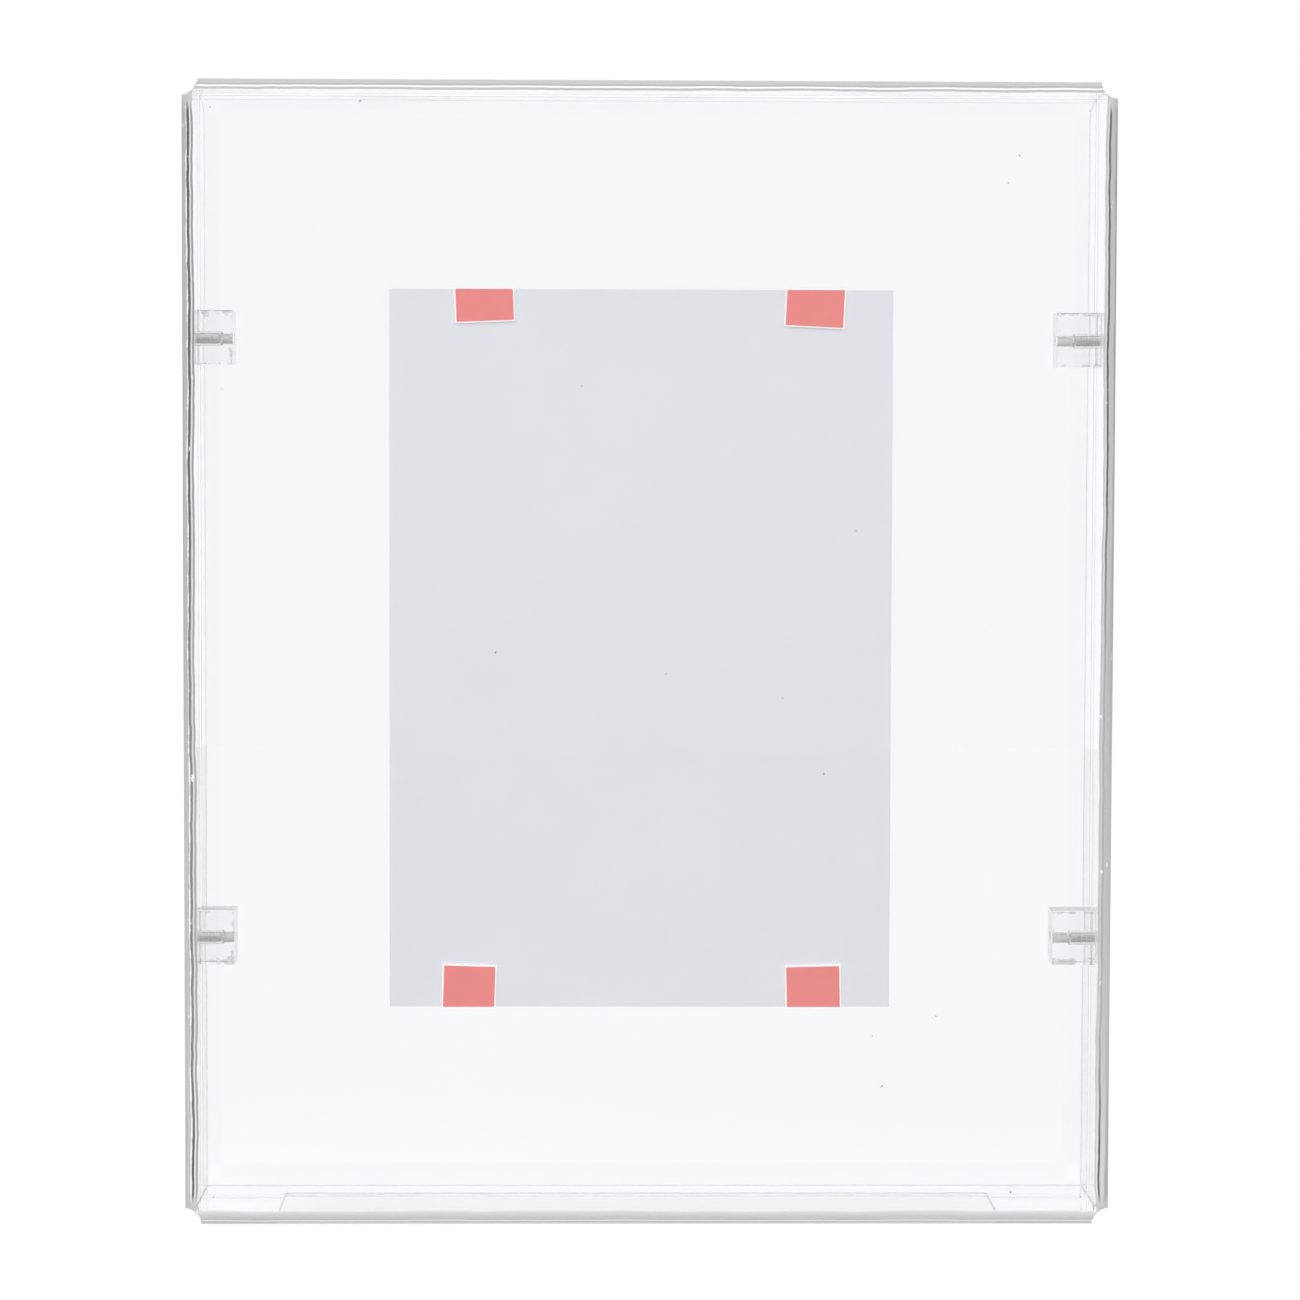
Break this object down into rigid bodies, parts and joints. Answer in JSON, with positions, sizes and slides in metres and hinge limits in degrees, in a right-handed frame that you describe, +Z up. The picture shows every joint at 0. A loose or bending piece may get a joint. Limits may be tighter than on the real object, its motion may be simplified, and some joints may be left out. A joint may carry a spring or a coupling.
{
  "type": "box frame",
  "caption": "Clear acrylic box picture frame: bent front cover with a long bottom slot, back panel on pinned blocks, and a grey carrier card with tape pads for the picture.",
  "frame": {"origin": "middle of the frame's footprint, on the surface its bottom wall stands on", "axes": "+Z up along the tall side of the picture, +Y from the clear front face back to the rear rim, +X to the right as seen from the front"},
  "size_m": [0.38, 0.08, 0.468],
  "materials": {
    "cover_acrylic": "polished clear sheet",
    "panel_acrylic": "polished clear sheet",
    "block_acrylic": "clear, sawn faces polished",
    "pin_steel": "ground",
    "grey_card": "matt",
    "tape_foam": "soft clear foam",
    "liner_film": "satin film"
  },
  "bodies": {
    "frame": {"front_cover": "cover_acrylic", "back_panel": "panel_acrylic", "carrier_card": "grey_card", "clip_block_upper_left": "block_acrylic", "clip_block_upper_right": "block_acrylic", "clip_block_lower_left": "block_acrylic", "clip_block_lower_right": "block_acrylic", "tape_pad_upper_left": "tape_foam", "tape_pad_upper_right": "tape_foam", "tape_pad_lower_left": "tape_foam", "tape_pad_lower_right": "tape_foam", "tape_liner_upper_left": "liner_film", "tape_liner_upper_right": "liner_film", "tape_liner_lower_left": "liner_film", "tape_liner_lower_right": "liner_film"},
    "pin_upper_left": {"locking_pin_upper_left": "pin_steel"},
    "pin_upper_right": {"locking_pin_upper_right": "pin_steel"},
    "pin_lower_left": {"locking_pin_lower_left": "pin_steel"},
    "pin_lower_right": {"locking_pin_lower_right": "pin_steel"}
  },
  "joints": [
    {"name": "pin_upper_left_pull", "type": "slide", "parent": "frame", "child": "pin_upper_left", "axis": [-1, 0, 0], "range_m": [0, 0.01]},
    {"name": "pin_upper_right_pull", "type": "slide", "parent": "frame", "child": "pin_upper_right", "axis": [1, 0, 0], "range_m": [0, 0.01]},
    {"name": "pin_lower_left_pull", "type": "slide", "parent": "frame", "child": "pin_lower_left", "axis": [-1, 0, 0], "range_m": [0, 0.01]},
    {"name": "pin_lower_right_pull", "type": "slide", "parent": "frame", "child": "pin_lower_right", "axis": [1, 0, 0], "range_m": [0, 0.01]}
  ]
}
